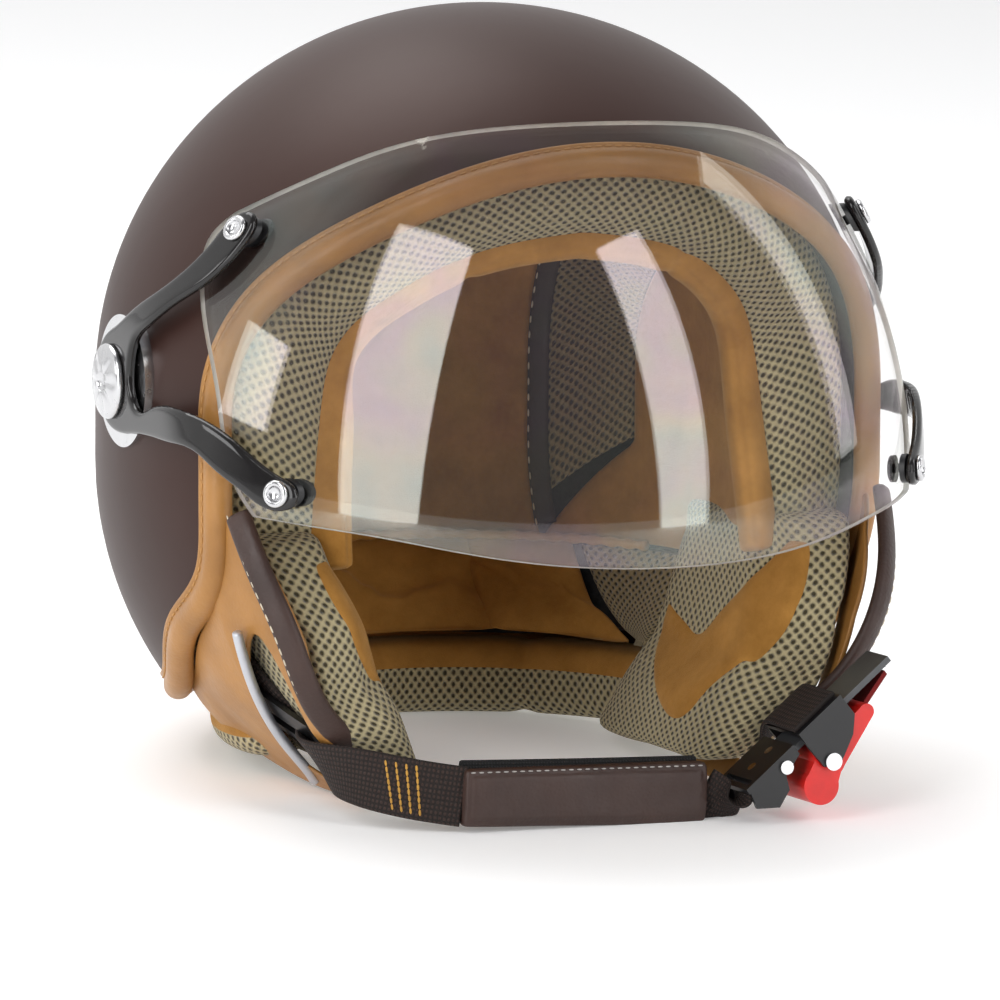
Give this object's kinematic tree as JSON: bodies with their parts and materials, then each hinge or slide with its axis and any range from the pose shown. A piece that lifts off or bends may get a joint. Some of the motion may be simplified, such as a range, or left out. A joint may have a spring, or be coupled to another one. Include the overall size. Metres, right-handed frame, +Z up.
{
  "type": "open face motorcycle helmet",
  "caption": "Open face helmet with a flip-up clear visor on Y-shaped brackets, padded lining, leather edge trim and a chin strap with a ratchet buckle.",
  "frame": {"origin": "on the resting plane, under the middle of the helmet's bounding box", "axes": "+Z up, the face opening towards -Y, +X the wearer's left"},
  "size_m": [0.2624, 0.2794, 0.245],
  "materials": {
    "shell_paint": "matt dark brown paint",
    "tan_leather": "smooth tan leather",
    "black_foam": "black foam",
    "spacer_mesh": "khaki spacer mesh",
    "tan_suede": "ochre suede",
    "brown_leather": "dark brown leather",
    "reflective_piping": "silver reflective piping",
    "bright_steel": "bright steel",
    "dark_steel": "dark steel",
    "black_gloss": "gloss black",
    "clear_lens": "clear polycarbonate",
    "black_plastic": "satin black plastic",
    "webbing": "dark brown woven webbing",
    "black_fabric": "black woven fabric",
    "red_plastic": "bright red plastic",
    "red_fabric": "dark red ribbon",
    "grey_plastic": "dark grey plastic"
  },
  "bodies": {
    "root": {"anchor_rivets": "bright_steel", "brow_pad": "spacer_mesh", "brow_piping": "tan_suede", "buckle_body": "black_plastic", "buckle_rivets": "bright_steel", "buckle_webbing": "webbing", "cheek_insert_left": "tan_suede", "cheek_insert_right": "tan_suede", "cheek_pad_left": "spacer_mesh", "cheek_pad_right": "spacer_mesh", "chin_webbing": "webbing", "crown_mesh_left": "spacer_mesh", "crown_mesh_right": "spacer_mesh", "crown_strip": "tan_suede", "edge_trim": "tan_leather", "flap_piping_left": "brown_leather", "flap_piping_right": "brown_leather", "foam_liner": "black_foam", "lever_pin": "bright_steel", "lever_spring": "bright_steel", "neck_roll": "spacer_mesh", "outer_shell": "shell_paint", "pad_lining": "black_fabric", "pad_webbing": "webbing", "pivot_base_left": "bright_steel", "pivot_base_right": "bright_steel", "pivot_bush_left": "black_plastic", "pivot_bush_right": "black_plastic", "pivot_nut_left": "dark_steel", "pivot_nut_right": "dark_steel", "pivot_screw_left": "bright_steel", "pivot_screw_right": "bright_steel", "rear_pad": "tan_suede", "reflective_piping_left": "reflective_piping", "reflective_piping_right": "reflective_piping", "side_flap_left": "tan_leather", "side_flap_right": "tan_leather", "side_pad_left": "tan_suede", "side_pad_right": "tan_suede", "side_webbing_left": "webbing", "side_webbing_right": "webbing", "strap_anchor_left": "dark_steel", "strap_anchor_right": "dark_steel", "strap_pad": "brown_leather", "strap_slider": "black_plastic", "tongue_webbing": "webbing"},
    "visor": {"visor_lens": "clear_lens", "visor_bracket_left": "black_gloss", "visor_bracket_right": "black_gloss", "visor_screws": "bright_steel", "visor_spacers": "black_plastic", "visor_nuts": "black_plastic"},
    "lever": {"buckle_lever": "red_plastic", "pull_tab": "red_fabric", "lever_pawl": "bright_steel"},
    "tongue": {"ratchet_tongue": "grey_plastic", "tongue_plate": "black_plastic", "tongue_rivets": "bright_steel"}
  },
  "joints": [
    {"name": "visor_flip", "type": "hinge", "parent": "root", "child": "visor", "pos_m": [0, 0.00786, 0.12767], "axis": [-1, 0, 0], "range_deg": [0, 55]},
    {"name": "lever_lift", "type": "hinge", "parent": "root", "child": "lever", "pos_m": [0.07284, -0.09801, 0.01883], "axis": [0, 0.9969, -0.0785], "range_deg": [0, 32], "stiffness_Nm_per_rad": 0.03, "springref_deg": -17.19},
    {"name": "tongue_slide", "type": "slide", "parent": "root", "child": "tongue", "axis": [-0.766, -0.0504, -0.6408], "range_m": [0, 0.008], "deforming": ["tongue_webbing"]}
  ]
}
